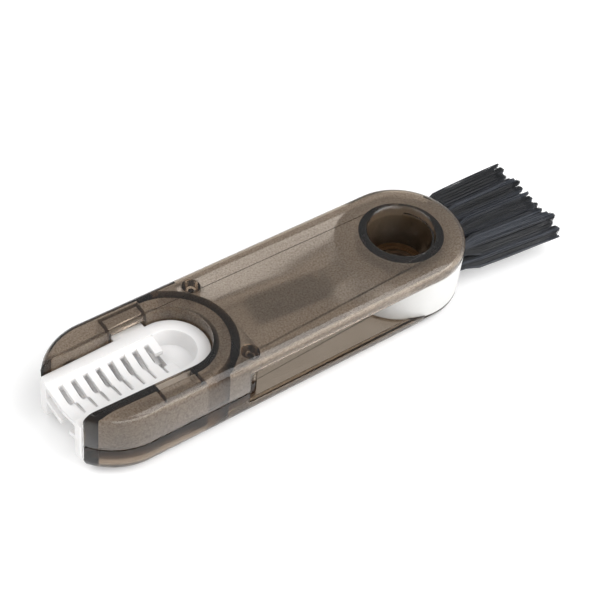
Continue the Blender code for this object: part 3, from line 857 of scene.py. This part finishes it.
def tubes(name, paths, radii, tones, surface, sides=FILAMENT_SIDES):
    """One mesh of many closed tubes. paths is (tube, step, xyz), radii (tube, step) and tones (tube)."""
    count, steps, _ = paths.shape
    forward = np.gradient(paths, axis=1)
    forward /= np.linalg.norm(forward, axis=2, keepdims=True)
    helper = np.where(np.abs(forward[:, :1, 2:3]) > 0.9, [[[1.0, 0.0, 0.0]]], [[[0.0, 0.0, 1.0]]])
    across = np.cross(forward, np.broadcast_to(helper, forward.shape))
    across /= np.linalg.norm(across, axis=2, keepdims=True)
    upward = np.cross(across, forward)
    angles = 2 * np.pi * np.arange(sides) / sides
    circle_points = (
        across[:, :, None, :] * np.cos(angles)[None, None, :, None]
        + upward[:, :, None, :] * np.sin(angles)[None, None, :, None]
    )
    points = paths[:, :, None, :] + radii[:, :, None, None] * circle_points
    ring = np.arange(sides)
    start = (np.arange(count)[:, None, None] * steps + np.arange(steps - 1)[None, :, None]) * sides
    quads = np.stack([
        start + ring, start + (ring + 1) % sides, start + sides + (ring + 1) % sides, start + sides + ring,
    ], axis=-1).reshape(-1, 4)
    first = np.arange(count)[:, None] * steps * sides
    caps = np.concatenate([first + ring[::-1], first + (steps - 1) * sides + ring])
    faces = quads.tolist() + caps.tolist()
    mesh = bpy.data.meshes.new(name)
    mesh.from_pydata(points.reshape(-1, 3).tolist(), [], faces)
    mesh.shade_smooth()
    attribute = mesh.attributes.new("tone", "FLOAT", "POINT")
    attribute.data.foreach_set("value", np.repeat(tones, steps * sides).astype(np.float32))
    mesh.materials.append(surface)
    return link(name, mesh)


def disc_places(count):
    """Even places in a unit disc, on a sunflower spiral."""
    order = np.arange(count) + 0.5
    reach = np.sqrt(order / count)
    turn = order * math.pi * GOLDEN_HALF_TURNS
    return np.stack([reach * np.cos(turn), reach * np.sin(turn)], axis=1)


def make_tuft(number, y, z, slope, tip_x, surface):
    """A bundle of nylon filaments that swells out of its hole into a square and ends in ragged points."""
    rng = np.random.default_rng(SEED + number)
    places = disc_places(TUFT_FILAMENTS)
    cosine, sine = math.cos(number), math.sin(number)
    places = places @ np.array([[cosine, sine], [-sine, cosine]])
    reach = np.linalg.norm(places, axis=1, keepdims=True)
    square = reach / (np.abs(places) ** SQUARENESS).sum(axis=1, keepdims=True) ** (1 / SQUARENESS)
    start = tuft_hole_floor(y) + ANCHOR_DEPTH + 2 * GAP
    surface_x = math.sqrt(HUB_RADIUS ** 2 - y ** 2)
    lock_places = rng.permutation(LOCK_PLACES)
    lock_places = lock_places + rng.normal(0, LOCK_PLACE_SPREAD, lock_places.shape)
    away = np.linalg.norm((places * square)[:, None] - lock_places[None], axis=2)
    nearest = np.argmin(away, axis=1)
    lock_length = rng.permutation(LOCK_LENGTHS_MM) * MM
    to_lock = away[np.arange(len(places)), nearest]
    ragged = rng.uniform(0, TIP_SPREAD_MM, len(places)) * MM
    tip = tip_x + lock_length[nearest] - LOCK_SLANT * to_lock - ragged
    share = np.linspace(0, 1, FILAMENT_STEPS)
    x = start + (tip[:, None] - start) * share[None, :]
    swell = np.clip((x - surface_x) / SWELL_LENGTH, 0, 1)
    swell = (swell * swell * (3 - 2 * swell))[:, :, None]
    radius = TUFT_ROOT_RADIUS + (TUFT_RADIUS - TUFT_ROOT_RADIUS) * swell
    spread = places[:, None, :] * (1 + (square[:, None, :] - 1) * swell)
    outside = np.clip((x - surface_x) / (tip_x - surface_x), 0, 1)[:, :, None]
    gather = LOCK_GATHER * outside ** LOCK_GATHER_POWER
    offset = spread * (1 - gather) + lock_places[nearest][:, None, :] * gather
    sway = rng.normal(0, SWAY, (len(places), 1, 2)) * np.sin(math.pi * share)[None, :, None]
    offset = np.clip(offset + sway * swell, -1, 1)
    middle = y + slope * (x - tuft_hole_floor(y))
    sides = radius * offset
    wide = 1 + TUFT_SIDEWAYS_SPREAD * (x - start) / (tip_x - start)
    paths = np.stack([x, middle + wide * sides[:, :, 0], z + sides[:, :, 1]], axis=2)
    thickness = FILAMENT_RADIUS * rng.uniform(*FILAMENT_RADIUS_SHARES, len(places))
    taper = np.where(share > CUT_END_FROM, CUT_END_SIZE, 1.0)
    # Painted highlight and painted shade: light and dark stripes across the tuft, added to each filament's
    # own random tone
    painted_sheen_bands = 0.5 + 0.5 * np.sin(places @ rng.normal(0, SHEEN_BAND_SPREAD, 2) + rng.uniform(0, 6))
    own_tones = TONE_SHARE * rng.beta(*TONE_SHAPE, len(places))
    tones = np.clip(own_tones + SHEEN_BAND_SHARE * painted_sheen_bands ** SHEEN_BAND_POWER, 0, 1)
    return tubes("bristles_%02d" % number, paths, thickness[:, None] * taper[None, :], tones, surface)


def make_wire_core(surface):
    """Two steel strands twisted round each other, bent round into a closed nose at the tip."""
    turns_per_metre = 1 / STRAND_PITCH
    x = np.linspace(WIRE_ROOT, WIRE_TIP, STRAND_STEPS)
    paths = []
    for phase in (0.0, math.pi):
        angle = 2 * math.pi * turns_per_metre * (WIRE_ROOT - x) + phase
        reach = (WIRE_RADIUS - STRAND_RADIUS) * np.clip((x - WIRE_TIP) / NOSE_LENGTH, NOSE_REACH, 1)
        paths.append(np.stack([x, reach * np.cos(angle), BRUSH_MID + reach * np.sin(angle)], axis=1))
    radii = np.full((2, len(x)), STRAND_RADIUS)
    radii[:, -len(NOSE_TAPER):] *= np.array(NOSE_TAPER)
    return tubes("wire_core", np.stack(paths), radii, np.zeros(2), surface, STRAND_SIDES)


def make_spiral_filaments(surface):
    """Filaments that stand out of the wire along its winding line."""
    rng = np.random.default_rng(SEED)
    share = (np.arange(SPIRAL_FILAMENTS) + 0.5) / SPIRAL_FILAMENTS
    x = SPIRAL_START - SPIRAL_INSET + (SPIRAL_END + SPIRAL_INSET - SPIRAL_START + SPIRAL_INSET) * share
    angle = 2 * math.pi * (SPIRAL_START - x) / SPIRAL_PITCH + rng.normal(0, SPIRAL_TURN_SPREAD, len(x))
    length = SPIRAL_RADIUS * rng.uniform(*SPIRAL_LENGTH_SHARES, len(x))
    lean = rng.normal(0, SPIRAL_LEAN_MM, len(x)) * MM
    steps = np.linspace(0, 1, SPIRAL_FILAMENT_STEPS)
    reach = STRAND_RADIUS + (length[:, None] - STRAND_RADIUS) * steps[None, :]
    along = x[:, None] + lean[:, None] * steps[None, :] ** 2
    paths = np.stack([
        along, reach * np.cos(angle)[:, None], BRUSH_MID + reach * np.sin(angle)[:, None],
    ], axis=2)
    radii = np.full(reach.shape, SPIRAL_FILAMENT_RADIUS)
    tones = rng.beta(*SPIRAL_TONE_SHAPE, len(x))
    return tubes("spiral_filaments", paths, radii, tones, surface, SPIRAL_FILAMENT_SIDES)


def turn_with_rotor(piece):
    piece.data.transform(Matrix.Rotation(ROTOR_TURN, 4, "Z"))


# ---------------------------------------------------------------- stage

def make_floor():
    side = FLOOR_HALF_SIDE
    mesh = bpy.data.meshes.new("floor")
    corners = [(-side, -side, 0), (side, -side, 0), (side, side, 0), (-side, side, 0)]
    mesh.from_pydata(corners, [], [(0, 1, 2, 3)])
    mesh.materials.append(floor_material())
    floor = link("floor", mesh)


def make_world():
    world = bpy.data.worlds.new("studio")
    world.use_nodes = True
    background = world.node_tree.nodes["Background"]
    background.inputs["Color"].default_value = WHITE
    background.inputs["Strength"].default_value = SKY_STRENGTH
    bpy.context.scene.world = world


def softbox(name, place, size, power):
    light = bpy.data.lights.new(name, "AREA")
    light.shape = "RECTANGLE"
    light.size, light.size_y = size
    light.energy = power
    made = bpy.data.objects.new(name, light)
    bpy.context.scene.collection.objects.link(made)
    made.location = place
    aim = LIGHT_TARGET - Vector(place)
    made.rotation_euler = aim.to_track_quat("-Z", "Y").to_euler()


def make_camera():
    azimuth, elevation = CAMERA_AZIMUTH, CAMERA_ELEVATION
    back = Vector((
        math.sin(azimuth) * math.cos(elevation),
        -math.cos(azimuth) * math.cos(elevation),
        math.sin(elevation),
    ))
    right = Vector((math.cos(azimuth), math.sin(azimuth), 0.0))
    up = back.cross(right)
    rolled_right = math.cos(CAMERA_ROLL) * right + math.sin(CAMERA_ROLL) * up
    rolled_up = math.cos(CAMERA_ROLL) * up - math.sin(CAMERA_ROLL) * right
    camera_data = bpy.data.cameras.new("camera")
    camera_data.lens = CAMERA_LENS
    camera_data.sensor_width = CAMERA_SENSOR
    camera_data.clip_start = CAMERA_NEAREST
    camera = bpy.data.objects.new("camera", camera_data)
    bpy.context.scene.collection.objects.link(camera)
    turn = Matrix((rolled_right, rolled_up, back)).transposed().to_4x4()
    camera.matrix_world = Matrix.Translation(CAMERA_TARGET + CAMERA_DISTANCE * back) @ turn
    bpy.context.scene.camera = camera


# ---------------------------------------------------------------- assembly

def place(piece, body, slot, *nodes):
    """Puts a piece on its body and lets it stand in for CAD nodes. Its slot is not used."""
    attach(piece, body)
    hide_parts(*nodes)


def main():
    polished = bpy.data.materials.new("polished")
    frosted = bpy.data.materials.new("frosted")
    smoke_top = smoky_plastic("smoky_plastic_top", TOP_DENSITY)
    smoke_bottom = smoky_plastic("smoky_plastic_bottom", BOTTOM_DENSITY)
    rubber = moulded_white("white_rubber_moulded", RUBBER_COLORS, RUBBER_ROUGHNESS, RUBBER_SOFTNESS)
    plastic = moulded_white("white_plastic_moulded", HUB_COLORS, HUB_ROUGHNESS, HUB_SOFTNESS)
    nylon = filament_material()
    steel = steel_material()

    top = make_top_case(polished, frosted)
    bottom = make_bottom_case(polished, frosted)
    for shell, frost, smoke, node in (
        (top, TOP_FROST, smoke_top, "top_shell"),
        (bottom, BOTTOM_FROST, smoke_bottom, "bottom_shell"),
    ):
        round_edges(shell, SHELL_ROUNDING)
        mark_frosted(shell, frosted, frost, smoke)
        place(shell, "case", "smoky_plastic", node)
    comb = make_comb(rubber)
    round_edges(comb, COMB_ROUNDING)
    place(comb, "case", "white_rubber", "comb_insert")

    hub = make_hub(plastic)
    round_edges(hub, SHELL_ROUNDING)
    wire = make_wire_core(steel)
    spiral = make_spiral_filaments(nylon)
    for piece, slot, node in (
        (hub, "white_plastic", "rotor_hub"),
        (wire, "steel_wire", "twisted_wire"),
        (spiral, "dark_bristle", "spiral_bristles"),
    ):
        turn_with_rotor(piece)
        place(piece, "rotor", slot, node)
    for number, y, z, slope, tip in tuft_places():
        tuft = make_tuft(number, y, z, slope, tip, nylon)
        turn_with_rotor(tuft)
        place(tuft, "rotor", "dark_bristle", "tuft_%02d" % number)
        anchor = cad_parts["tuft_anchor_%02d" % number]
        anchor.data.materials.clear()
        anchor.data.materials.append(steel)

    make_floor()
    make_world()
    for light in LIGHTS:
        softbox(*light)
    make_camera()
    bpy.context.scene.view_settings.view_transform = "Standard"


main()
